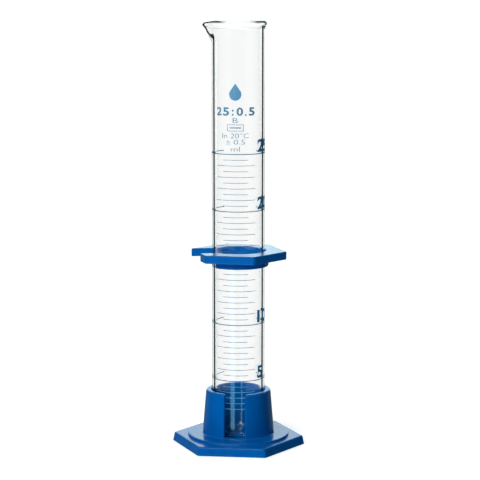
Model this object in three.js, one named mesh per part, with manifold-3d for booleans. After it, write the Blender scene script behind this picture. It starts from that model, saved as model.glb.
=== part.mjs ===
// Graduated measuring cylinder, 25 ml: a glass tube with a beaded rim and a pouring spout, standing in a
// removable hexagonal plastic base, with a hexagonal plastic guard clipped round the tube.
//
// Units are millimetres and +Z is up. The origin is the centre of the base's underside, on the surface that
// the cylinder stands on. The window in the base's socket faces -Y and the spout points along -X.

import * as THREE from 'three';
import { mergeVertices } from 'three/addons/utils/BufferGeometryUtils.js';
import Module from 'manifold-3d';

const wasm = await Module();
wasm.setup();

const DEGREE = Math.PI / 180;
const ROUND_STEPS = 64;
const ARC_STEPS = 4;
const MERGE_TOLERANCE = 1e-4;

// Glass tube
const TUBE_RADIUS = 10.0;
const BORE_RADIUS = 8.6;
const TUBE_FOOT_Z = 3.0;
const BORE_FLOOR_Z = 4.4;
const RIM_Z = 161.3;
const FOOT_ROUND = 3.0;
const BORE_FLOOR_ROUND = 2.2;
const BEAD_ROUND = 1.08;
const BEAD_NECK = 0.9;
const BEAD_FROM = -50;
const BEAD_TO = 170;
const BEAD_STEPS = 7;

// Spout
const SPOUT_START_Z = 153.4;
const SPOUT_REACH = 2.8;
const SPOUT_DIP = 0.8;
const SPOUT_DIP_POWER = 4;
const SPOUT_HALF_ANGLE = 22 * DEGREE;
const SPOUT_FOOT_SHARE = 0.6;
const SPOUT_ROWS = 7;

// Base
const BASE_ACROSS_FLATS = 44.3;
const BASE_CORNER_ROUND = 1.2;
const BASE_PLATE_HEIGHT = 3.4;
const BASE_TAPER = 0.027;
const BASE_EDGE_ROUND = 0.5;
const DISC_RADIUS = 19.3;
const DISC_TOP_RADIUS = 18.4;
const DISC_TOP_Z = 4.3;
const SOCKET_FOOT_RADIUS = 13.7;
const SOCKET_RIM_RADIUS = 12.3;
const SOCKET_RIM_Z = 21.2;
const SOCKET_FILLET = 0.4;
const SOCKET_FILLET_FROM = 270;
const SOCKET_FILLET_TO = 185;
const SOCKET_RIM_ROUND = 0.8;
const FIT_GAP = 0.3;
const WINDOW_WIDTH = 7.7;
const WINDOW_SILL_Z = 4.5;
const UNDERSIDE_DEPTH = 1.3;
const UNDERSIDE_WALL = 2.2;
const UNDERSIDE_EDGE_ROUND = 0.3;
const RIB_WIDTH = 1.2;
const RIB_RISE = 0.3;

// Guard
const GUARD_ACROSS_FLATS = 32.4;
const GUARD_CORNER_ROUND = 1.2;
const GUARD_TOP_Z = 74.8;
const GUARD_PLATE_HEIGHT = 3.1;
const GUARD_EDGE_ROUND = 0.3;
const GUARD_BORE_RADIUS = 10.5;
const HUB_RADIUS = 11.5;
const HUB_DEPTH = 2.8;
const HUB_CHAMFER = 0.5;
const GUARD_TURN = -5 * DEGREE;
const GUARD_SLOT_TURN = 194 * DEGREE;
const GUARD_SLOT_WIDTH = 12.6;
const GUARD_SLOT_REACH = 30;

const CUT_MARGIN = 2;

const glass = new THREE.MeshStandardMaterial({
  color: 0xe6f0f2, roughness: 0.03, metalness: 0, transparent: true, opacity: 0.35,
});
const bluePlastic = new THREE.MeshStandardMaterial({ color: 0x0a57a5, roughness: 0.28, metalness: 0 });

// A closed geometry as a manifold solid.
function toSolid(geometry) {
  const bare = geometry.index ? geometry.toNonIndexed() : geometry.clone();
  bare.deleteAttribute('normal');
  bare.deleteAttribute('uv');
  const merged = mergeVertices(bare, MERGE_TOLERANCE);
  const mesh = new wasm.Mesh({
    numProp: 3,
    vertProperties: Float32Array.from(merged.attributes.position.array),
    triVerts: Uint32Array.from(merged.index.array),
  });
  return new wasm.Manifold(mesh);
}

// A manifold solid as a geometry.
function toGeometry(solid) {
  const mesh = solid.getMesh();
  const geometry = new THREE.BufferGeometry();
  geometry.setAttribute('position', new THREE.BufferAttribute(new Float32Array(mesh.vertProperties), 3));
  geometry.setIndex(new THREE.BufferAttribute(new Uint32Array(mesh.triVerts), 1));
  geometry.computeVertexNormals();
  return geometry;
}

// Points of a round corner or bead, as [radius, z] pairs, between two angles in degrees.
function arc(centreRadius, centreZ, radius, from, to, steps = ARC_STEPS) {
  const points = [];
  for (let i = 0; i <= steps; i += 1) {
    const angle = (from + ((to - from) * i) / steps) * DEGREE;
    points.push([centreRadius + radius * Math.cos(angle), centreZ + radius * Math.sin(angle)]);
  }
  return points;
}

// A profile of [radius, z] pairs, turned about the Z axis.
function turned(profile) {
  const points = profile.map(([radius, z]) => new THREE.Vector2(Math.max(radius, 0), z));
  const geometry = new THREE.LatheGeometry(points, ROUND_STEPS);
  geometry.rotateX(Math.PI / 2);
  return geometry;
}

// A regular hexagon with rounded corners, its first corner on the +X axis.
function roundedHexagon(acrossFlats, cornerRound) {
  const circumradius = acrossFlats / Math.sqrt(3);
  const arcCentre = circumradius - cornerRound / Math.cos(30 * DEGREE);
  const shape = new THREE.Shape();
  for (let corner = 0; corner < 6; corner += 1) {
    const turn = corner * 60 * DEGREE;
    const x = arcCentre * Math.cos(turn);
    const y = arcCentre * Math.sin(turn);
    shape.absarc(x, y, cornerRound, turn - 30 * DEGREE, turn + 30 * DEGREE, false);
  }
  return shape;
}

// A hexagonal plate with a rounded upper edge, from z = 0 up to its height.
function hexagonPlate(acrossFlats, cornerRound, height, edgeRound) {
  const shape = roundedHexagon(acrossFlats, cornerRound);
  const geometry = new THREE.ExtrudeGeometry(shape, {
    depth: height,
    curveSegments: ARC_STEPS,
    bevelEnabled: true,
    bevelThickness: edgeRound,
    bevelSize: edgeRound,
    bevelOffset: -edgeRound,
    bevelSegments: 2,
  });
  geometry.translate(0, 0, -edgeRound);
  const size = 2 * acrossFlats;
  const belowFloor = new THREE.BoxGeometry(size, size, size);
  belowFloor.translate(0, 0, -size / 2);
  return toSolid(geometry).subtract(toSolid(belowFloor));
}

// How far the tube's wall is pulled out at a height, from 0 where the spout starts to 1 at the rim.
function spoutRise(z) {
  const share = THREE.MathUtils.clamp((z - SPOUT_START_Z) / (RIM_Z - SPOUT_START_Z), 0, 1);
  return Math.sin((share * Math.PI) / 2);
}

// Draws the wall out along -X into a spout that widens towards the rim.
function pullSpout(geometry) {
  const position = geometry.attributes.position;
  for (let i = 0; i < position.count; i += 1) {
    const x = position.getX(i);
    const y = position.getY(i);
    const z = position.getZ(i);
    const rise = spoutRise(z);
    if (rise > 0) {
      const width = SPOUT_HALF_ANGLE * THREE.MathUtils.lerp(SPOUT_FOOT_SHARE, 1, rise);
      const offAxis = Math.atan2(y, -x) / width;
      const spread = Math.exp(-offAxis * offAxis);
      const stretch = 1 + (SPOUT_REACH * rise * spread) / Math.hypot(x, y);
      const dip = SPOUT_DIP * spread * rise ** SPOUT_DIP_POWER;
      position.setXYZ(i, x * stretch, y * stretch, z - dip);
    }
  }
  return geometry;
}

function makeTube() {
  const beadRadius = BORE_RADIUS + BEAD_ROUND;
  const beadZ = RIM_Z - BEAD_ROUND;
  const neckZ = beadZ - BEAD_ROUND - BEAD_NECK;
  const spoutRows = [];
  for (let row = 0; row < SPOUT_ROWS; row += 1) {
    spoutRows.push(SPOUT_START_Z + ((neckZ - SPOUT_START_Z) * row) / (SPOUT_ROWS - 1));
  }
  const outside = spoutRows.map((z) => [TUBE_RADIUS, z]);
  const inside = spoutRows.map((z) => [BORE_RADIUS, z]).reverse();
  return pullSpout(turned([
    [0, TUBE_FOOT_Z],
    ...arc(TUBE_RADIUS - FOOT_ROUND, TUBE_FOOT_Z + FOOT_ROUND, FOOT_ROUND, -90, 0),
    ...outside,
    ...arc(beadRadius, beadZ, BEAD_ROUND, BEAD_FROM, BEAD_TO, BEAD_STEPS),
    ...inside,
    ...arc(BORE_RADIUS - BORE_FLOOR_ROUND, BORE_FLOOR_Z + BORE_FLOOR_ROUND, BORE_FLOOR_ROUND, 0, -90),
    [0, BORE_FLOOR_Z],
  ]));
}

// The raised disc and the tapered block on it that the socket is cut into, as one turned body.
function turnedBody() {
  const filletRadius = SOCKET_FOOT_RADIUS + SOCKET_FILLET;
  const filletZ = DISC_TOP_Z + SOCKET_FILLET;
  const rimCentreRadius = SOCKET_RIM_RADIUS - SOCKET_RIM_ROUND;
  const rimCentreZ = SOCKET_RIM_Z - SOCKET_RIM_ROUND;
  return toSolid(turned([
    [0, UNDERSIDE_DEPTH],
    [DISC_RADIUS - FIT_GAP, UNDERSIDE_DEPTH],
    [DISC_RADIUS, BASE_PLATE_HEIGHT],
    [DISC_RADIUS - FIT_GAP, (BASE_PLATE_HEIGHT + DISC_TOP_Z) / 2],
    [DISC_TOP_RADIUS, DISC_TOP_Z],
    ...arc(filletRadius, filletZ, SOCKET_FILLET, SOCKET_FILLET_FROM, SOCKET_FILLET_TO),
    ...arc(rimCentreRadius, rimCentreZ, SOCKET_RIM_ROUND, 0, 90),
    [0, SOCKET_RIM_Z],
  ]));
}

// The hollow that the tube stands in, a little wider and deeper than the tube's foot, with an eased mouth.
function socketHollow() {
  const socketRadius = TUBE_RADIUS + FIT_GAP;
  const floorZ = TUBE_FOOT_Z - FIT_GAP;
  return toSolid(turned([
    [0, floorZ],
    ...arc(socketRadius - FOOT_ROUND, floorZ + FOOT_ROUND, FOOT_ROUND, -90, 0),
    [socketRadius, SOCKET_RIM_Z - FIT_GAP],
    [socketRadius + FIT_GAP, SOCKET_RIM_Z],
    [socketRadius + FIT_GAP, SOCKET_RIM_Z + CUT_MARGIN],
    [0, SOCKET_RIM_Z + CUT_MARGIN],
  ]));
}

// The pockets moulded into the underside: a hexagonal recess that three crossing ribs divide into six.
function undersidePockets() {
  const acrossFlats = BASE_ACROSS_FLATS - 2 * UNDERSIDE_WALL;
  const cutHeight = UNDERSIDE_DEPTH + CUT_MARGIN;
  let pockets = hexagonPlate(acrossFlats, BASE_CORNER_ROUND, cutHeight, UNDERSIDE_EDGE_ROUND)
    .translate([0, 0, -CUT_MARGIN]);
  for (let rib = 0; rib < 3; rib += 1) {
    const bar = new THREE.BoxGeometry(2 * BASE_ACROSS_FLATS, RIB_WIDTH, UNDERSIDE_DEPTH);
    bar.translate(0, 0, RIB_RISE + UNDERSIDE_DEPTH / 2);
    bar.rotateZ((30 + 60 * rib) * DEGREE);
    pockets = pockets.subtract(toSolid(bar));
  }
  return pockets;
}

function makeBase() {
  const plate = hexagonPlate(BASE_ACROSS_FLATS, BASE_CORNER_ROUND, BASE_PLATE_HEIGHT, BASE_EDGE_ROUND)
    .warp((vertex) => {
      const narrowing = 1 - (BASE_TAPER * vertex[2]) / BASE_PLATE_HEIGHT;
      vertex[0] *= narrowing;
      vertex[1] *= narrowing;
    });
  const windowDepth = SOCKET_FOOT_RADIUS + CUT_MARGIN;
  const windowHeight = SOCKET_RIM_Z - WINDOW_SILL_Z + CUT_MARGIN;
  const windowCut = new THREE.BoxGeometry(WINDOW_WIDTH, windowDepth, windowHeight);
  windowCut.translate(0, -windowDepth / 2, WINDOW_SILL_Z + windowHeight / 2);
  const solid = plate
    .add(turnedBody())
    .subtract(socketHollow())
    .subtract(toSolid(windowCut))
    .subtract(undersidePockets());
  return toGeometry(solid);
}

function makeGuard() {
  const plate = hexagonPlate(GUARD_ACROSS_FLATS, GUARD_CORNER_ROUND, GUARD_PLATE_HEIGHT, GUARD_EDGE_ROUND)
    .translate([0, 0, GUARD_TOP_Z - GUARD_PLATE_HEIGHT])
    .rotate([0, 0, GUARD_TURN / DEGREE]);
  const hubFootZ = GUARD_TOP_Z - GUARD_PLATE_HEIGHT - HUB_DEPTH;
  const hub = toSolid(turned([
    [0, hubFootZ],
    [HUB_RADIUS - HUB_CHAMFER, hubFootZ],
    [HUB_RADIUS, hubFootZ + HUB_CHAMFER],
    [HUB_RADIUS, GUARD_TOP_Z - GUARD_PLATE_HEIGHT / 2],
    [0, GUARD_TOP_Z - GUARD_PLATE_HEIGHT / 2],
  ]));
  const cutHeight = GUARD_PLATE_HEIGHT + HUB_DEPTH + 2 * CUT_MARGIN;
  const cutCentreZ = (GUARD_TOP_Z + hubFootZ) / 2;
  const bore = new THREE.CylinderGeometry(GUARD_BORE_RADIUS, GUARD_BORE_RADIUS, cutHeight, ROUND_STEPS);
  bore.rotateX(Math.PI / 2);
  bore.translate(0, 0, cutCentreZ);
  const slot = new THREE.BoxGeometry(GUARD_SLOT_REACH, GUARD_SLOT_WIDTH, cutHeight);
  slot.translate(GUARD_SLOT_REACH / 2, 0, cutCentreZ);
  slot.rotateZ(GUARD_SLOT_TURN);
  return toGeometry(plate.add(hub).subtract(toSolid(bore)).subtract(toSolid(slot)));
}

function namedMesh(name, geometry, material) {
  const mesh = new THREE.Mesh(geometry, material);
  mesh.name = name;
  return mesh;
}

const group = new THREE.Group();
group.add(namedMesh('glass_tube', makeTube(), glass));
group.add(namedMesh('hex_base', makeBase(), bluePlastic));
group.add(namedMesh('hex_guard', makeGuard(), bluePlastic));

export default group;
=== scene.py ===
import math

import bmesh
import bpy
import numpy as np
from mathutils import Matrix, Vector


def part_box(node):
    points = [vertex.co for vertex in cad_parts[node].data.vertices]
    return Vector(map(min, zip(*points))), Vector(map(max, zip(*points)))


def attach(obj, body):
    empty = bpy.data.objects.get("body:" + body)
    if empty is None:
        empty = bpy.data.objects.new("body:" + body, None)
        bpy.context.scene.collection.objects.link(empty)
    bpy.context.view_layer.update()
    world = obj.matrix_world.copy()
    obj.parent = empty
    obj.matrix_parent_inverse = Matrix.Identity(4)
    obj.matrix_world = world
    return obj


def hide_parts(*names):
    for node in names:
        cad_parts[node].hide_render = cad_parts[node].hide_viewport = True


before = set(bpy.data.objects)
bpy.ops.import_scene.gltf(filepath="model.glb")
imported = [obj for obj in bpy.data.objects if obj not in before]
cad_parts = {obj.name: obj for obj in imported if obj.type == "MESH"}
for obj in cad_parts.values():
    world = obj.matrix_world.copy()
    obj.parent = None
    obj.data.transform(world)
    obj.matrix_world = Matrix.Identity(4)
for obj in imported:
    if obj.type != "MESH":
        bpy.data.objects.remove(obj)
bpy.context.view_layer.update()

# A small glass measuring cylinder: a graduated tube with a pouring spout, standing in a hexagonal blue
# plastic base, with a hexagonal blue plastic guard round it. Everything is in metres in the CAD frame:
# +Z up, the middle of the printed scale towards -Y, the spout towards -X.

MM = 0.001
DEGREE = math.pi / 180

base_low, base_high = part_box("hex_base")
tube_low, tube_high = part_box("glass_tube")
guard_low, guard_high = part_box("hex_guard")

# Glass tube
TUBE_RADIUS = 10.0 * MM
BORE_RADIUS = 8.6 * MM
FOOT_ROUND = 3.0 * MM
FLOOR_THICKNESS = 1.4 * MM
FLOOR_ROUND = 2.2 * MM
BEAD_ROUND = 1.08 * MM
NECK_HEIGHT = 1.4 * MM
SPOUT_HEIGHT = 7.9 * MM
SPOUT_REACH = 2.8 * MM
SPOUT_DIP = 0.8 * MM
SPOUT_HALF_ANGLE = 22 * DEGREE
BEAD_START_DEGREES = -50
BEAD_END_DEGREES = 170
BEAD_STEPS = 28
NECK_STEPS = 6
WALL_ROWS = 22
CORNER_STEPS = 14
TURN_STEPS = 192

# Scale on the glass: volumes in millilitres, sizes in metres
RING_HEIGHT = 26.08 * MM
RING_VOLUME = 5
ML_SPACING = 4.298 * MM
FIRST_TICK = 2.5
FULL_VOLUME = 25
TICK_STEP = 0.5
RING_HALF_ANGLE = 135.6 * DEGREE
LONG_TICK_HALF_ANGLE = 45.5 * DEGREE
SHORT_TICK_HALF_ANGLE = 28 * DEGREE
RING_THICKNESS = 0.3 * MM
TICK_THICKNESS = 0.17 * MM
ENAMEL_RISE = 0.03 * MM
WRAP_STEP = 0.4 * MM
NUMERAL_ANGLE = 51.6 * DEGREE
NUMERAL_HEIGHT = 4.8 * MM
ONE_DIGIT_ASPECT = 0.70
TWO_DIGIT_ASPECT = 1.5
NUMERAL_LIFT = 0.6 * MM

# Print above the scale
PRINT_LIFT = 0.2 * MM
CAPACITY_LIFT = 14.1 * MM
CAPACITY_HEIGHT = 3.1 * MM
BOX_LIFT = 8.4 * MM
BOX_HEIGHT = 2.5 * MM
BOX_HALF_WIDTH = 3.1 * MM
BOX_LINE = 0.2 * MM
DROP_LIFT = 19.7 * MM
DROP_RADIUS = 2.3 * MM
DROP_HEIGHT = 6.4 * MM
DROP_STEPS = 48
BOLD_WEIGHT = 0.03
PLAIN_WEIGHT = -0.01

# Plastic base
BASE_APOTHEM = 22.15 * MM
BASE_CORNER = 1.2 * MM
BASE_PLATE = 3.4 * MM
BASE_TAPER = 0.027
BASE_EDGE = 0.5 * MM
DISC_RADIUS = 19.3 * MM
DISC_TOP = 4.3 * MM
DISC_EDGE = 0.35 * MM
CONE_FOOT_RADIUS = 13.7 * MM
CONE_RIM_RADIUS = 12.3 * MM
CONE_FILLET = 0.4 * MM
CONE_RIM_ROUND = 0.8 * MM
SOCKET_RADIUS = 10.3 * MM
SOCKET_FLOOR = 2.7 * MM
WINDOW_HALF_WIDTH = 3.85 * MM
WINDOW_SILL = 4.5 * MM
WINDOW_EDGE = 0.6 * MM
RECESS_DEPTH = 1.3 * MM
RECESS_WALL = 2.2 * MM
RIB_HALF_WIDTH = 0.6 * MM
RIB_RISE = 0.3 * MM
BASE_CELL = 0.36 * MM

# Plastic guard
GUARD_APOTHEM = 16.2 * MM
GUARD_CORNER = 1.2 * MM
GUARD_PLATE = 3.1 * MM
GUARD_EDGE = 0.3 * MM
GUARD_BORE = 10.5 * MM
HUB_RADIUS = 11.5 * MM
HUB_EDGE = 0.5 * MM
GUARD_TURN = -5 * DEGREE
GUARD_SLOT_TURN = 194 * DEGREE
GUARD_SLOT_HALF_WIDTH = 6.3 * MM
GUARD_CELL = 0.25 * MM

# Meshing of the plastic pieces
GRID_MARGIN = 5
SURFACE_PASSES = 4
NORMAL_STEP = 0.01 * MM

# Materials
GLASS_IOR = 1.47
PLASTIC_IOR = 1.25
ENAMEL_ROUGHNESS = 0.4
ENAMEL_GRAIN = 1600
# Heights on the tube where the painted highlight on the scale's lines fades into their own dark blue
PAINTED_LIGHT_FADE_LOW = 23 * MM
PAINTED_LIGHT_FADE_HIGH = 25.5 * MM

# Camera, as fitted to the photograph
CAMERA_AZIMUTH = 6.5 * DEGREE
CAMERA_DISTANCE = 0.6473
CAMERA_HEIGHT = 0.1738
CAMERA_PITCH = 0.146  # radians
CAMERA_LENS = 129.6  # millimetres
AIM_RIGHT = 0.64 * MM

# Stage
FLOOR_SIZE = 8
FLOOR_GAP = 0.02 * MM
FLOOR_GLOW = 0.6
WHITE_GLOW = 1.1
AMBIENT = (0.1, 0.1, 0.1)
GLASS_SURFACES_SEEN_THROUGH = 3.5


# ---------------------------------------------------------------- solids from distance functions

def join_round(a, b, radius):
    """Two solids joined, with a fillet of that radius where they meet."""
    corner = np.hypot(np.maximum(radius - a, 0), np.maximum(radius - b, 0))
    return np.maximum(radius, np.minimum(a, b)) - corner


def cut_round(a, b, radius):
    """What two solids share, with its edges rounded to that radius."""
    corner = np.hypot(np.maximum(radius + a, 0), np.maximum(radius + b, 0))
    return np.minimum(-radius, np.maximum(a, b)) + corner


def hexagon(x, y, apothem, corner):
    """Distance to a hexagon with rounded corners, the first on the X axis."""
    inner = apothem - corner
    x, y = np.abs(x), np.abs(y)
    across = np.minimum(-math.sin(60 * DEGREE) * x + math.cos(60 * DEGREE) * y, 0)
    x = x + 2 * across * math.sin(60 * DEGREE)
    y = y - 2 * across * math.cos(60 * DEGREE)
    half_side = inner * math.tan(30 * DEGREE)
    x = x - np.clip(x, -half_side, half_side)
    y = y - inner
    return np.hypot(x, y) * np.sign(y) - corner


def base_distance(x, y, z):
    """Distance to the plastic base: plate, disc, socket, window and the pockets underneath."""
    radius = np.hypot(x, y)
    apothem = BASE_APOTHEM * (1 - BASE_TAPER * np.clip(z / BASE_PLATE, 0, 1))
    plate = cut_round(hexagon(x, y, apothem, BASE_CORNER), z - BASE_PLATE, BASE_EDGE)
    plate = cut_round(plate, base_low.z - z, 0.5 * BASE_EDGE)
    disc = cut_round(radius - DISC_RADIUS, z - DISC_TOP, DISC_EDGE)
    disc = np.maximum(disc, RECESS_DEPTH - z)
    slope = (CONE_FOOT_RADIUS - CONE_RIM_RADIUS) / (base_high.z - DISC_TOP)
    cone = (radius - CONE_FOOT_RADIUS + (z - DISC_TOP) * slope) / math.hypot(1, slope)
    cone = cut_round(cone, z - base_high.z, CONE_RIM_ROUND)
    # The window is cut before the cone joins the disc, so that its rounding leaves the disc whole
    window = np.maximum(np.maximum(np.abs(x) - WINDOW_HALF_WIDTH, WINDOW_SILL - z), y)
    cone = cut_round(np.maximum(cone, RECESS_DEPTH - z), -window, WINDOW_EDGE)
    solid = join_round(join_round(plate, disc, 0.25 * BASE_EDGE), cone, CONE_FILLET)
    hollow = cut_round(radius - SOCKET_RADIUS, SOCKET_FLOOR - z, FOOT_ROUND)
    recess = np.maximum(hexagon(x, y, BASE_APOTHEM - RECESS_WALL, BASE_CORNER), z - RECESS_DEPTH)
    for turn in (30, 90, 150):
        across = np.abs(y * math.cos(turn * DEGREE) - x * math.sin(turn * DEGREE))
        rib = np.maximum(across - RIB_HALF_WIDTH, RIB_RISE - z)
        recess = np.maximum(recess, -rib)
    solid = cut_round(solid, -hollow, 0.5 * CONE_RIM_ROUND)
    return cut_round(solid, -recess, 0.4 * BASE_EDGE)


def guard_distance(x, y, z):
    """Distance to the plastic guard: plate, hub, bore and the slot it is clipped on through."""
    radius = np.hypot(x, y)
    turned_x = x * math.cos(GUARD_TURN) + y * math.sin(GUARD_TURN)
    turned_y = y * math.cos(GUARD_TURN) - x * math.sin(GUARD_TURN)
    plate_foot = guard_high.z - GUARD_PLATE
    outline = hexagon(turned_x, turned_y, GUARD_APOTHEM, GUARD_CORNER)
    plate = cut_round(outline, z - guard_high.z, GUARD_EDGE)
    plate = cut_round(plate, plate_foot - z, GUARD_EDGE)
    hub = cut_round(radius - HUB_RADIUS, guard_low.z - z, HUB_EDGE)
    hub = np.maximum(hub, z - guard_high.z + GUARD_PLATE / 2)
    solid = join_round(plate, hub, GUARD_EDGE)
    along = x * math.cos(GUARD_SLOT_TURN) + y * math.sin(GUARD_SLOT_TURN)
    across = y * math.cos(GUARD_SLOT_TURN) - x * math.sin(GUARD_SLOT_TURN)
    slot = np.maximum(np.abs(across) - GUARD_SLOT_HALF_WIDTH, -along)
    opening = np.minimum(radius - GUARD_BORE, slot)
    return cut_round(solid, -opening, GUARD_EDGE)


def surface_normals(distance, points):
    """Unit normals of a distance function at points, by central differences."""
    normals = np.zeros_like(points)
    for axis in range(3):
        ahead, behind = points.copy(), points.copy()
        ahead[:, axis] += NORMAL_STEP
        behind[:, axis] -= NORMAL_STEP
        normals[:, axis] = distance(*ahead.T) - distance(*behind.T)
    return normals / np.maximum(np.linalg.norm(normals, axis=1, keepdims=True), 1e-12)


def solid_mesh(name, distance, low, high, cell):
    """The zero surface of a distance function as a mesh of quads, by surface nets."""
    counts = [int(math.ceil((top - foot) / cell)) + GRID_MARGIN for foot, top in zip(low, high)]
    starts = [(foot + top) / 2 - (n - 1) * cell / 2 for foot, top, n in zip(low, high, counts)]
    axes = [s + cell * np.arange(n) for s, n in zip(starts, counts)]
    inside = distance(*np.meshgrid(*axes, indexing="ij")) < 0
    filled = np.zeros([n - 1 for n in counts], int)
    for corner in np.ndindex(2, 2, 2):
        shifted = tuple(slice(c, c + n - 1) for c, n in zip(corner, counts))
        filled += inside[shifted]
    cells = np.argwhere((filled > 0) & (filled < 8))
    index = np.full(filled.shape, -1)
    index[tuple(cells.T)] = np.arange(len(cells))
    points = np.array(starts) + (cells + 0.5) * cell
    for _ in range(SURFACE_PASSES):
        points -= surface_normals(distance, points) * distance(*points.T)[:, None]
    quads = []
    for axis in range(3):
        u, v = (axis + 1) % 3, (axis + 2) % 3
        before = np.take(inside, range(counts[axis] - 1), axis)
        after = np.take(inside, range(1, counts[axis]), axis)
        edges = np.argwhere(before != after)
        corners = []
        for back_u, back_v in ((1, 1), (0, 1), (0, 0), (1, 0)):
            cell_at = edges.copy()
            cell_at[:, u] -= back_u
            cell_at[:, v] -= back_v
            corners.append(index[tuple(cell_at.T)])
        faces = np.stack(corners, 1)
        facing_back = ~before[tuple(edges.T)]
        faces[facing_back] = faces[facing_back][:, ::-1]
        quads.append(faces)
    mesh = bpy.data.meshes.new(name)
    mesh.from_pydata(points.tolist(), [], np.concatenate(quads).tolist())
    mesh.polygons.foreach_set("use_smooth", [True] * len(mesh.polygons))
    mesh.normals_split_custom_set_from_vertices(surface_normals(distance, points).tolist())
    return mesh


# ---------------------------------------------------------------- glass tube

def arc(centre_radius, centre_z, radius, start, end, steps):
    """Points of a round corner as (radius, z), between two angles in degrees."""
    angles = [(start + (end - start) * i / steps) * DEGREE for i in range(steps + 1)]
    return [(centre_radius + radius * math.cos(a), centre_z + radius * math.sin(a)) for a in angles]


def sway(start, end, steps):
    """Points of a smooth curve that leaves (radius, z) start straight up and eases over to end."""
    points = []
    for i in range(1, steps):
        share = i / steps
        ease = share * share * (2.2 - 1.2 * share)
        points.append((start[0] + (end[0] - start[0]) * ease, start[1] + (end[1] - start[1]) * share))
    return points


def pulled_spout(x, y, z):
    """Where a point of the plain tube goes when the spout is drawn out of its rim along -X."""
    share = min(max((z - tube_high.z + SPOUT_HEIGHT) / SPOUT_HEIGHT, 0), 1)
    rise = math.sin(share * math.pi / 2)
    radius = math.hypot(x, y)
    if rise == 0 or radius == 0:
        return x, y, z
    # The spout widens upwards, and its pull fades to the sides as a bell curve
    width = SPOUT_HALF_ANGLE * (0.6 + 0.4 * rise)
    spread = math.exp(-((math.atan2(y, -x) / width) ** 2))
    stretch = 1 + SPOUT_REACH * rise * spread / radius
    return x * stretch, y * stretch, z - SPOUT_DIP * spread * rise**4


def tube_profiles():
    """The tube's wall outside, its rim's bead up to the crest, and its inside from there to the floor."""
    bead_radius = BORE_RADIUS + BEAD_ROUND
    bead_z = tube_high.z - BEAD_ROUND
    bead = arc(bead_radius, bead_z, BEAD_ROUND, BEAD_START_DEGREES, BEAD_END_DEGREES, BEAD_STEPS)
    crest = max(range(len(bead)), key=lambda i: bead[i][1])
    neck_z = bead[0][1] - NECK_HEIGHT
    spout_z = tube_high.z - SPOUT_HEIGHT
    wall = [spout_z + (neck_z - spout_z) * i / WALL_ROWS for i in range(WALL_ROWS + 1)]
    foot = arc(TUBE_RADIUS - FOOT_ROUND, tube_low.z + FOOT_ROUND, FOOT_ROUND, -90, 0, CORNER_STEPS)
    outside = [(0.0, tube_low.z)] + foot + [(TUBE_RADIUS, z) for z in wall]
    outside += sway((TUBE_RADIUS, neck_z), bead[0], NECK_STEPS) + [bead[0]]
    floor_z = tube_low.z + FLOOR_THICKNESS
    floor = arc(BORE_RADIUS - FLOOR_ROUND, floor_z + FLOOR_ROUND, FLOOR_ROUND, 0, -90, CORNER_STEPS)
    inside = bead[crest:] + [(BORE_RADIUS, z) for z in reversed(wall)] + floor + [(0.0, floor_z)]
    return outside, bead[: crest + 1], inside


def turned_mesh(name, profiles, steps):
    """A closed turned body of profiles that follow on from each other, each with its own material."""
    materials = [i for i, profile in enumerate(profiles) for _ in profile[1:]]
    points = profiles[0][:1] + [point for profile in profiles for point in profile[1:]]
    build = bmesh.new()
    rows = []
    for radius, z in points:
        if radius == 0:
            rows.append([build.verts.new((0, 0, z))])
            continue
        row = []
        for i in range(steps):
            angle = 2 * math.pi * i / steps
            row.append(build.verts.new(pulled_spout(radius * math.cos(angle), radius * math.sin(angle), z)))
        rows.append(row)
    for material, lower, upper in zip(materials, rows, rows[1:]):
        for i in range(steps):
            following = (i + 1) % steps
            corners = [lower[i % len(lower)], lower[following % len(lower)]]
            corners += [upper[following % len(upper)], upper[i % len(upper)]]
            face = build.faces.new(list(dict.fromkeys(corners)))
            face.smooth = True
            face.material_index = material
    mesh = bpy.data.meshes.new(name)
    build.to_mesh(mesh)
    build.free()
    return mesh


# ---------------------------------------------------------------- enamel marks on the glass

def flat_strip(build, left, right, low, high):
    """A flat bar on the unrolled tube, where x runs round the tube and y is the height."""
    corners = [(left, low, 0), (right, low, 0), (right, high, 0), (left, high, 0)]
    build.faces.new([build.verts.new(c) for c in corners])


def flat_shape(build, outline):
    """A flat filled outline on the unrolled tube."""
    build.faces.new([build.verts.new((x, y, 0)) for x, y in outline])


def flat_text(build, text, centre, low, width, height, weight):
    """Text on the unrolled tube, fitted to a width and height. The weight thickens its strokes."""
    curve = bpy.data.curves.new("lettering", "FONT")
    curve.body = text
    curve.offset = weight
    curve.resolution_u = 5
    writer = bpy.data.objects.new("lettering", curve)
    bpy.context.scene.collection.objects.link(writer)
    bpy.context.view_layer.update()
    mesh = bpy.data.meshes.new_from_object(writer.evaluated_get(bpy.context.evaluated_depsgraph_get()))
    points = np.array([v.co for v in mesh.vertices])
    first, last = points.min(0), points.max(0)
    scale = np.array([width, height]) / (last - first)[:2]
    placed = (points[:, :2] - first[:2]) * scale + np.array([centre - width / 2, low])
    verts = [build.verts.new((x, y, 0)) for x, y in placed]
    for polygon in mesh.polygons:
        build.faces.new([verts[i] for i in polygon.vertices])
    bpy.data.objects.remove(writer)
    bpy.data.curves.remove(curve)
    bpy.data.meshes.remove(mesh)


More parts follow.
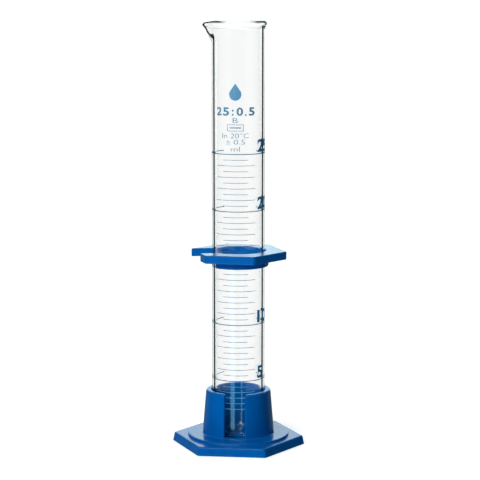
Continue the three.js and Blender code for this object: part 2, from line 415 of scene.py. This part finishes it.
def wrapped_mesh(name, build):
    """Flat marks thickened to an enamel layer and wrapped round the tube, with x = 0 towards -Y."""
    left = min(v.co.x for v in build.verts)
    right = max(v.co.x for v in build.verts)
    for i in range(1, int((right - left) / WRAP_STEP) + 1):
        geometry = build.verts[:] + build.edges[:] + build.faces[:]
        place = (left + i * WRAP_STEP, 0, 0)
        bmesh.ops.bisect_plane(build, geom=geometry, plane_co=place, plane_no=(1, 0, 0), dist=1e-7)
    bmesh.ops.remove_doubles(build, verts=build.verts[:], dist=1e-6)
    made = bmesh.ops.extrude_face_region(build, geom=build.faces[:], use_keep_orig=True)
    for item in made["geom"]:
        if isinstance(item, bmesh.types.BMVert):
            item.co.z = 2 * ENAMEL_RISE
    for vert in build.verts:
        radius = TUBE_RADIUS - ENAMEL_RISE + vert.co.z
        angle = vert.co.x / TUBE_RADIUS
        vert.co = (radius * math.sin(angle), -radius * math.cos(angle), vert.co.y)
    bmesh.ops.recalc_face_normals(build, faces=build.faces[:])
    mesh = bpy.data.meshes.new(name)
    build.to_mesh(mesh)
    build.free()
    return mesh


def volume_height(volume):
    """The height on the tube of a volume in millilitres."""
    return RING_HEIGHT + (volume - RING_VOLUME) * ML_SPACING


def scale_lines():
    """The rings every 5 ml and the ticks between them."""
    build = bmesh.new()
    for i in range(int((FULL_VOLUME - FIRST_TICK) / TICK_STEP) + 1):
        volume = FIRST_TICK + i * TICK_STEP
        half_angle, thickness = SHORT_TICK_HALF_ANGLE, TICK_THICKNESS
        if volume % RING_VOLUME == 0:
            half_angle, thickness = RING_HALF_ANGLE, RING_THICKNESS
        elif volume % 1 == 0:
            half_angle = LONG_TICK_HALF_ANGLE
        reach = half_angle * TUBE_RADIUS
        middle = volume_height(volume)
        flat_strip(build, -reach, reach, middle - thickness / 2, middle + thickness / 2)
    return wrapped_mesh("scale_lines", build)


def scale_numerals():
    """The volumes beside the rings, 5 to 25 ml."""
    build = bmesh.new()
    for volume in range(RING_VOLUME, FULL_VOLUME + 1, RING_VOLUME):
        text = str(volume)
        width = NUMERAL_HEIGHT * (ONE_DIGIT_ASPECT if len(text) == 1 else TWO_DIGIT_ASPECT)
        centre = NUMERAL_ANGLE * TUBE_RADIUS + width / 2
        low = volume_height(volume) + NUMERAL_LIFT
        flat_text(build, text, centre, low, width, NUMERAL_HEIGHT, BOLD_WEIGHT)
    return wrapped_mesh("scale_numerals", build)


def boxed_bar(build, low):
    """A box with a plain bar in it."""
    high = low + BOX_HEIGHT
    half, line = BOX_HALF_WIDTH, BOX_LINE
    flat_strip(build, -half, half, low, low + line)
    flat_strip(build, -half, half, high - line, high)
    flat_strip(build, -half, -half + line, low + line, high - line)
    flat_strip(build, half - line, half, low + line, high - line)
    flat_strip(build, -0.7 * half, 0.7 * half, low + 0.42 * BOX_HEIGHT, low + 0.58 * BOX_HEIGHT)


def volume_marking():
    """The printed lines above the scale: capacity, division, class, temperature, tolerance and unit."""
    build = bmesh.new()
    foot = volume_height(FULL_VOLUME) + PRINT_LIFT
    # Each glyph with its centre and width in millimetres, and its share of the full height
    capacity = (
        ("2", -6.70, 2.55, 1.0), ("5", -3.60, 2.45, 1.0), (":", -0.95, 0.75, 0.75),
        ("0", 1.70, 2.45, 1.0), (".", 3.95, 0.70, 0.2), ("5", 6.35, 2.45, 1.0),
    )
    for glyph, centre, width, share in capacity:
        height = share * CAPACITY_HEIGHT
        flat_text(build, glyph, centre * MM, foot + CAPACITY_LIFT, width * MM, height, BOLD_WEIGHT)
    # Each line with its lift, width and height in millimetres
    lines = (
        ("B", 11.5, 1.9, 1.8),
        ("In 20°C", 5.8, 10.3, 1.9),
        ("± 0.5", 3.5, 7.2, 1.8),
        ("ml", 0.9, 3.4, 1.7),
    )
    for words, lift, width, height in lines:
        flat_text(build, words, 0, foot + lift * MM, width * MM, height * MM, PLAIN_WEIGHT)
    boxed_bar(build, foot + BOX_LIFT)
    return wrapped_mesh("volume_marking", build)


def droplet_mark():
    """A plain drop above the printed lines: a round belly that runs up to a point."""
    build = bmesh.new()
    low = volume_height(FULL_VOLUME) + PRINT_LIFT + DROP_LIFT
    belly = arc(0, low + DROP_RADIUS, DROP_RADIUS, -215, 35, DROP_STEPS)
    flat_shape(build, belly + [(0, low + DROP_HEIGHT)])
    return wrapped_mesh("droplet_mark", build)


# ---------------------------------------------------------------- materials

def node_material(name):
    """A new material, its node tree and its Principled shader."""
    material = bpy.data.materials.new(name)
    material.use_nodes = True
    tree = material.node_tree
    return material, tree, tree.nodes["Principled BSDF"]


def noise(tree, scale, detail):
    """A noise texture in the object's own coordinates, its scale in cycles per metre."""
    coordinates = tree.nodes.new("ShaderNodeTexCoord")
    texture = tree.nodes.new("ShaderNodeTexNoise")
    texture.inputs["Scale"].default_value = scale
    texture.inputs["Detail"].default_value = detail
    tree.links.new(coordinates.outputs["Object"], texture.inputs["Vector"])
    return texture.outputs["Fac"]


def ramp(tree, factor, stops):
    """A colour ramp of (position, colour) stops driven by a factor."""
    node = tree.nodes.new("ShaderNodeValToRGB")
    elements = node.color_ramp.elements
    while len(elements) < len(stops):
        elements.new(0.5)
    for element, (position, colour) in zip(elements, stops):
        element.position = position
        element.color = (*colour, 1)
    tree.links.new(factor, node.inputs["Fac"])
    return node.outputs["Color"]


def fill_inputs(tree, node, values):
    """Gives a node's first inputs their values, each from a socket or as a constant."""
    for socket, value in zip(node.inputs, values):
        if isinstance(value, bpy.types.NodeSocket):
            tree.links.new(value, socket)
        else:
            socket.default_value = value


def math_node(tree, operation, *values):
    """A Math node on sockets or numbers."""
    node = tree.nodes.new("ShaderNodeMath")
    node.operation = operation
    fill_inputs(tree, node, values)
    return node.outputs["Value"]


def vector_node(tree, operation, *values):
    """A Vector Math node on sockets or vectors."""
    node = tree.nodes.new("ShaderNodeVectorMath")
    node.operation = operation
    fill_inputs(tree, node, values)
    return node.outputs["Value" if operation == "DOT_PRODUCT" else "Vector"]


def product(tree, *factors):
    """The product of several sockets."""
    result = factors[0]
    for factor in factors[1:]:
        result = math_node(tree, "MULTIPLY", result, factor)
    return result


def level_direction(tree, vector):
    """The level part of a vector, at unit length."""
    return vector_node(tree, "NORMALIZE", vector_node(tree, "MULTIPLY", vector, (1, 1, 0)))


def mixed_shaders(tree, factor, first, second):
    """The first shader where the factor is 0 and the second where it is 1."""
    node = tree.nodes.new("ShaderNodeMixShader")
    fill_inputs(tree, node, (factor, first, second))
    return node.outputs["Shader"]


def eased(tree, value, start, end):
    """0 below start, 1 above end and smooth between them. The other way round if end is less."""
    node = tree.nodes.new("ShaderNodeMapRange")
    node.interpolation_type = "SMOOTHSTEP"
    falling = end < start
    node.inputs["From Min"].default_value = min(start, end)
    node.inputs["From Max"].default_value = max(start, end)
    node.inputs["To Min"].default_value = 1 if falling else 0
    node.inputs["To Max"].default_value = 0 if falling else 1
    tree.links.new(value, node.inputs["Value"])
    return node.outputs["Result"]


def glass_material(name):
    """A new smooth clear glass, its node tree and its Principled shader."""
    material, tree, shader = node_material(name)
    shader.inputs["Transmission Weight"].default_value = 1
    shader.inputs["IOR"].default_value = GLASS_IOR
    shader.inputs["Roughness"].default_value = 0
    return material, tree, shader


def clear_glass():
    """The inside of the tube: clean borosilicate glass."""
    material, tree, shader = glass_material("clear_glass")
    tint = ramp(tree, noise(tree, 90, 2), [(0.3, (0.986, 0.988, 0.988)), (0.7, (0.992, 0.992, 0.990))])
    tree.links.new(tint, shader.inputs["Base Color"])
    return material


def wall_glass():
    """The outside of the tube: where it curves away and the wall is seen edge on, a thin dark line of
    painted shade.
    """
    material, tree, shader = glass_material("wall_glass")
    edge = tree.nodes.new("ShaderNodeLayerWeight")
    clean = (1.0, 0.99, 0.985)
    grey = (0.965, 0.96, 0.96)
    green = (0.94, 0.96, 0.93)
    dark = (0, 0, 0)
    pale = (1, 1, 0.99)
    # The colour is painted by the angle of view in place of what refraction does to light: a faint grey, a
    # green tint, a painted dark line where the wall is seen edge on and a painted pale strip outside it
    # From 0, where the wall faces the eye, to 1 at its outline
    stops = [
        (0.08, clean), (0.13, grey), (0.32, grey), (0.44, green), (0.518, green),
        (0.54, dark), (0.655, dark), (0.678, pale), (1, pale),
    ]
    colour = ramp(tree, edge.outputs["Facing"], stops)
    tree.links.new(colour, shader.inputs["Base Color"])
    return material


def rim_glass():
    """The fire-polished bead: clear, with a painted dark line of shade below its crest where the ring turns
    away.
    """
    material, tree, shader = glass_material("rim_glass")
    coordinates = tree.nodes.new("ShaderNodeTexCoord")
    ring = tree.nodes.new("ShaderNodeLayerWeight")
    tree.links.new(level_direction(tree, coordinates.outputs["Object"]), ring.inputs["Normal"])
    surface = tree.nodes.new("ShaderNodeLayerWeight")
    tilt = tree.nodes.new("ShaderNodeSeparateXYZ")
    tree.links.new(coordinates.outputs["Normal"], tilt.inputs[0])
    geometry = tree.nodes.new("ShaderNodeNewGeometry")

    ring_turns_away = eased(tree, ring.outputs["Facing"], 0.45, 0.7)
    bead_turns_away = eased(tree, surface.outputs["Facing"], 0.45, 0.6)
    outline = math_node(tree, "MULTIPLY", ring_turns_away, bead_turns_away)
    faces_up = eased(tree, tilt.outputs["Z"], 0.0, 0.3)
    below_crest = eased(tree, tilt.outputs["Z"], 0.88, 0.7)
    painted_shade_band = math_node(tree, "MULTIPLY", math_node(tree, "MAXIMUM", faces_up, outline), below_crest)
    strength = math_node(tree, "MAXIMUM", eased(tree, ring.outputs["Facing"], 0.02, 0.25), 0.08)
    entering = math_node(tree, "SUBTRACT", 1, geometry.outputs["Backfacing"])
    line = product(tree, painted_shade_band, strength, entering)
    # Painted shade: the line darkens the colour of the bead where it is seen edge on below its crest
    colour = ramp(tree, line, [(0, (0.99, 0.995, 0.995)), (1, (0, 0, 0))])
    tree.links.new(colour, shader.inputs["Base Color"])
    return material


def blue_plastic():
    """Glossy moulded polyethylene: even blue with faint flow marks and a slightly uneven gloss."""
    material, tree, shader = node_material("blue_plastic")
    colour = ramp(tree, noise(tree, 240, 3), [(0.3, (0.0, 0.122, 0.46)), (0.7, (0.0, 0.138, 0.50))])
    tree.links.new(colour, shader.inputs["Base Color"])
    gloss = ramp(tree, noise(tree, 900, 2), [(0.3, (0.17,) * 3), (0.7, (0.24,) * 3)])
    tree.links.new(gloss, shader.inputs["Roughness"])
    shader.inputs["IOR"].default_value = PLASTIC_IOR
    bump = tree.nodes.new("ShaderNodeBump")
    bump.inputs["Strength"].default_value = 0.12
    bump.inputs["Distance"].default_value = 0.1 * MM
    tree.links.new(noise(tree, 700, 2), bump.inputs["Height"])
    tree.links.new(bump.outputs["Normal"], shader.inputs["Normal"])
    return material


def enamel(name, thin, full):
    """Blue enamel fired on the glass, between a thin and a full coat."""
    material, tree, shader = node_material(name)
    colour = ramp(tree, noise(tree, ENAMEL_GRAIN, 2), [(0.35, thin), (0.65, full)])
    tree.links.new(colour, shader.inputs["Base Color"])
    shader.inputs["Roughness"].default_value = ENAMEL_ROUGHNESS
    return material


def line_enamel():
    """The enamel of the scale's lines: dark and full, with a painted highlight that turns them light cyan
    at the foot of the scale.
    """
    material, tree, shader = node_material("line_enamel")
    grain = noise(tree, ENAMEL_GRAIN, 2)
    dark = ramp(tree, grain, [(0.35, (0.06, 0.19, 0.34)), (0.65, (0.04, 0.15, 0.28))])
    coordinates = tree.nodes.new("ShaderNodeTexCoord")
    place = tree.nodes.new("ShaderNodeSeparateXYZ")
    tree.links.new(coordinates.outputs["Object"], place.inputs[0])
    # Painted highlight: below the fade the lines take a light cyan in place of the enamel's dark blue
    blend = tree.nodes.new("ShaderNodeMix")
    blend.data_type = "RGBA"
    factor, painted_light_colour, full = (s for s in blend.inputs if s.enabled)
    painted_light_colour.default_value = (0.10, 0.55, 0.85, 1)
    tree.links.new(eased(tree, place.outputs["Z"], PAINTED_LIGHT_FADE_LOW, PAINTED_LIGHT_FADE_HIGH), factor)
    tree.links.new(dark, full)
    mixed = next(s for s in blend.outputs if s.enabled)
    tree.links.new(mixed, shader.inputs["Base Color"])
    shader.inputs["Roughness"].default_value = ENAMEL_ROUGHNESS
    return material


# ---------------------------------------------------------------- pieces

def add_piece(name, mesh, body, materials):
    """A shown piece that rides on a CAD body."""
    piece = bpy.data.objects.new(name, mesh)
    bpy.context.scene.collection.objects.link(piece)
    for material in materials:
        mesh.materials.append(material)
    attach(piece, body)
    return piece


plastic = blue_plastic()
dark_enamel = enamel("dark_enamel", (0.02, 0.29, 0.60), (0.01, 0.24, 0.52))
print_enamel = enamel("print_enamel", (0.13, 0.35, 0.52), (0.10, 0.31, 0.47))
pale_enamel = enamel("pale_enamel", (0.17, 0.42, 0.66), (0.14, 0.38, 0.62))

tube = add_piece("tube_glass", turned_mesh("tube_glass", tube_profiles(), TURN_STEPS), "tube",
                 [wall_glass(), rim_glass(), clear_glass()])
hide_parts("glass_tube")
# Glass blocks all light on its way to a shadow in Cycles, so the tube casts none
tube.visible_shadow = False

base_mesh = solid_mesh("base_moulding", base_distance, base_low, base_high, BASE_CELL)
base = add_piece("base_moulding", base_mesh, "base", [plastic])
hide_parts("hex_base")

guard_mesh = solid_mesh("guard_moulding", guard_distance, guard_low, guard_high, GUARD_CELL)
guard = add_piece("guard_moulding", guard_mesh, "guard", [plastic])
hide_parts("hex_guard")

add_piece("scale_lines", scale_lines(), "tube", [line_enamel()])
add_piece("scale_numerals", scale_numerals(), "tube", [dark_enamel])
add_piece("volume_marking", volume_marking(), "tube", [print_enamel])
add_piece("droplet_mark", droplet_mark(), "tube", [pale_enamel])


# ---------------------------------------------------------------- stage, light and camera

def add_floor():
    """A plain pale floor under the object, which reflections and scattered light pass through."""
    build = bmesh.new()
    bmesh.ops.create_grid(build, x_segments=1, y_segments=1, size=FLOOR_SIZE)
    mesh = bpy.data.meshes.new("floor")
    build.to_mesh(mesh)
    build.free()
    floor = bpy.data.objects.new("floor", mesh)
    bpy.context.scene.collection.objects.link(floor)
    floor.location.z = base_low.z - FLOOR_GAP
    material, tree, shader = node_material("floor")
    shader.inputs["Base Color"].default_value = (0.82, 0.82, 0.82, 1)
    shader.inputs["Emission Color"].default_value = (1, 1, 1, 1)
    shader.inputs["Emission Strength"].default_value = FLOOR_GLOW
    shader.inputs["Roughness"].default_value = 0.9
    shader.inputs["Specular IOR Level"].default_value = 0
    clear = tree.nodes.new("ShaderNodeBsdfTransparent")
    path = tree.nodes.new("ShaderNodeLightPath")
    bounces = math_node(tree, "ADD", path.outputs["Diffuse Depth"], path.outputs["Glossy Depth"])
    bounced = math_node(tree, "GREATER_THAN", bounces, 0.5)
    surface = mixed_shaders(tree, bounced, shader.outputs[0], clear.outputs[0])
    tree.links.new(surface, tree.nodes["Material Output"].inputs["Surface"])
    mesh.materials.append(material)


def softbox(tree, direction, azimuth, half_width, low, high, soft):
    """The shape, from 0 to 1, of a soft-edged panel in the sky, placed by angles in degrees."""
    angle = azimuth * DEGREE + CAMERA_AZIMUTH
    middle = (math.sin(angle), -math.cos(angle), 0)
    towards = vector_node(tree, "DOT_PRODUCT", level_direction(tree, direction), middle)
    outer, inner = min(half_width + soft, 180), max(half_width - soft, 0)
    # The 0.001 keeps the two limits apart
    across = eased(tree, towards, math.cos(outer * DEGREE) - 0.001, math.cos(inner * DEGREE))
    split = tree.nodes.new("ShaderNodeSeparateXYZ")
    tree.links.new(direction, split.inputs[0])
    height = split.outputs["Z"]
    above = eased(tree, height, math.sin((low - soft) * DEGREE), math.sin((low + soft) * DEGREE))
    below = eased(tree, height, math.sin((high + soft) * DEGREE), math.sin((high - soft) * DEGREE))
    return product(tree, above, below, across)


def background(tree, colour, strength):
    """A Background shader of that colour, from a socket or as a constant, and strength."""
    node = tree.nodes.new("ShaderNodeBackground")
    fill_inputs(tree, node, (colour, strength))
    return node.outputs["Background"]


def studio_light(tree, direction):
    """The colour of the light from each direction: a faint upper half and panels on top of it."""
    split = tree.nodes.new("ShaderNodeSeparateXYZ")
    tree.links.new(direction, split.inputs[0])
    total = vector_node(tree, "MULTIPLY", AMBIENT, eased(tree, split.outputs["Z"], -0.05, 0.1))
    # Azimuth from the camera's, half width, lower and upper edge and softness in degrees, then colour
    panels = (
        (180, 24, -2, 40, 4, (1.7, 2.15, 2.15)),  # behind, mirrored by the level tops
        (180, 60, -40, -4, 5, (0.15, 0.26, 0.26)),  # faint, behind and below
        (-30, 24, 22, 50, 6, (5.5, 5.6, 5.6)),  # the key, in front and above
        (-35, 50, -65, -30, 6, (3.1, 3.2, 3.2)),  # the fill, in front and below
        (0, 180, 66, 100, 10, (1.0, 1.0, 1.0)),  # overhead
        (-26, 9, -30, -11, 2, (0.75, 2.4, 3.8)),  # cool, on the left, mirrored by upright faces
        (15, 2, -30, -11, 1.5, (0.7, 1.8, 2.6)),  # a narrow cool strip on the right
    )
    for *place, colour in panels:
        light = vector_node(tree, "MULTIPLY", colour, softbox(tree, direction, *place))
        total = vector_node(tree, "ADD", total, light)
    return total


def sees_white(tree, direction):
    """1 for rays that see the white surrounding and 0 for those that see the studio's panels.

    The camera sees white. So does what it sees through glass, where the glass has not mirrored it, or
    has mirrored it towards the wide backdrop past few surfaces.
    """
    path = tree.nodes.new("ShaderNodeLightPath")
    backdrop = softbox(tree, direction, 180, 145, -60, 60, 15)
    not_mirrored = math_node(tree, "LESS_THAN", path.outputs["Glossy Depth"], 0.5)
    few = math_node(tree, "LESS_THAN", path.outputs["Transmission Depth"], GLASS_SURFACES_SEEN_THROUGH)
    clean = math_node(tree, "MAXIMUM", not_mirrored, math_node(tree, "MULTIPLY", few, backdrop))
    not_scattered = math_node(tree, "LESS_THAN", path.outputs["Diffuse Depth"], 0.5)
    through = product(tree, path.outputs["Is Transmission Ray"], not_scattered, clean)
    return math_node(tree, "MAXIMUM", path.outputs["Is Camera Ray"], through)


def add_studio():
    """Soft panels of light, with a white surrounding that the camera and the glass look out on."""
    world = bpy.data.worlds.new("studio")
    world.use_nodes = True
    bpy.context.scene.world = world
    tree = world.node_tree
    tree.nodes.clear()
    direction = tree.nodes.new("ShaderNodeTexCoord").outputs["Generated"]
    studio = background(tree, studio_light(tree, direction), 1)
    white = background(tree, (1, 1, 1, 1), WHITE_GLOW)
    output = tree.nodes.new("ShaderNodeOutputWorld")
    sky = mixed_shaders(tree, sees_white(tree, direction), studio, white)
    tree.links.new(sky, output.inputs["Surface"])


def add_camera():
    """The camera at the photograph's viewing angle: a little higher than the rim and looking down."""
    back = Vector((math.sin(CAMERA_AZIMUTH), -math.cos(CAMERA_AZIMUTH), 0))
    right = Vector((math.cos(CAMERA_AZIMUTH), math.sin(CAMERA_AZIMUTH), 0))
    data = bpy.data.cameras.new("camera")
    data.lens = CAMERA_LENS
    data.sensor_width = 36
    data.clip_start = 0.01
    data.clip_end = 60
    camera = bpy.data.objects.new("camera", data)
    bpy.context.scene.collection.objects.link(camera)
    camera.location = back * CAMERA_DISTANCE + Vector((0, 0, CAMERA_HEIGHT))
    aim_height = CAMERA_HEIGHT - CAMERA_DISTANCE * math.tan(CAMERA_PITCH)
    aim = right * AIM_RIGHT + Vector((0, 0, aim_height))
    camera.rotation_mode = "QUATERNION"
    camera.rotation_quaternion = (aim - camera.location).to_track_quat("-Z", "Y")
    bpy.context.scene.camera = camera


add_floor()
add_studio()
add_camera()
bpy.context.scene.view_settings.view_transform = "Standard"
